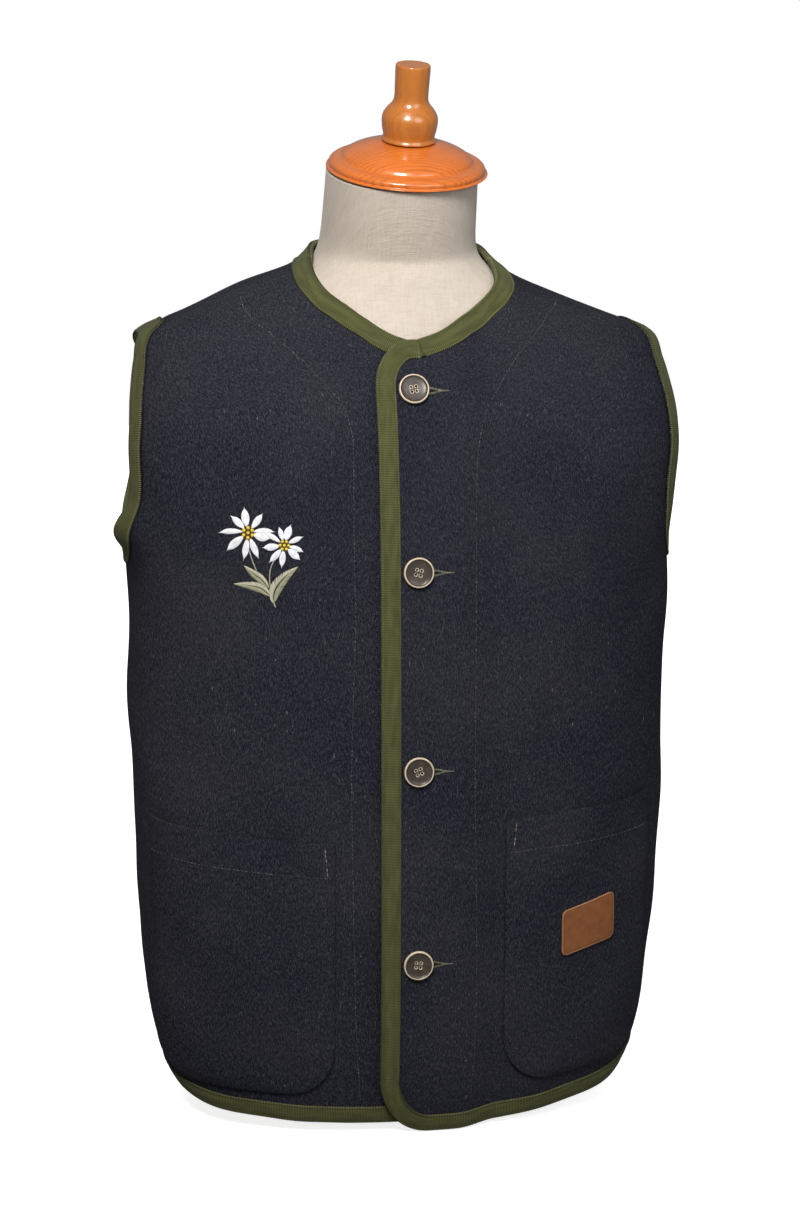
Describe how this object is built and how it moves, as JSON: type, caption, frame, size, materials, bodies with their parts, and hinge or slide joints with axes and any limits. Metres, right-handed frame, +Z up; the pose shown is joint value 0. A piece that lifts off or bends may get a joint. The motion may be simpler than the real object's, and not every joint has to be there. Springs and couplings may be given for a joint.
{
  "type": "folk vest on a dress form",
  "caption": "Wool folk vest with braid-bound edges, patch pockets and an embroidered flower sprig, buttoned round a limbless linen dress form with a turned wooden neck cap and finial.",
  "frame": {"origin": "on the dress form's flat base, at the middle of its width", "axes": "+Z up, the front faces -Y, and +X is the wearer's left"},
  "size_m": [0.4586, 0.2647, 0.8484],
  "materials": {
    "loden": "milled wool, dark blue-grey melange with a matt nap",
    "braid": "ribbed olive wool braid",
    "horn": "dark horn face with a pale rim, satin",
    "leather": "cognac, blank, with a pressed edge line",
    "linen": "natural linen stretched over a hard form",
    "cap_wood": "orange-brown, varnished to a gloss",
    "finial_wood": "honey-brown, varnished to a gloss"
  },
  "bodies": {
    "root": {"back": "loden", "front_right": "loden", "front_left": "loden", "pocket_right": "loden", "pocket_left": "loden", "binding_front_right": "braid", "binding_front_left": "braid", "binding_back_neck": "braid", "binding_back_hem": "braid", "binding_armhole_right": "braid", "binding_armhole_left": "braid", "button_1": "horn", "button_2": "horn", "button_3": "horn", "button_4": "horn", "label": "leather", "form_torso": "linen", "neck_cap": "cap_wood", "finial": "finial_wood"}
  },
  "joints": []
}
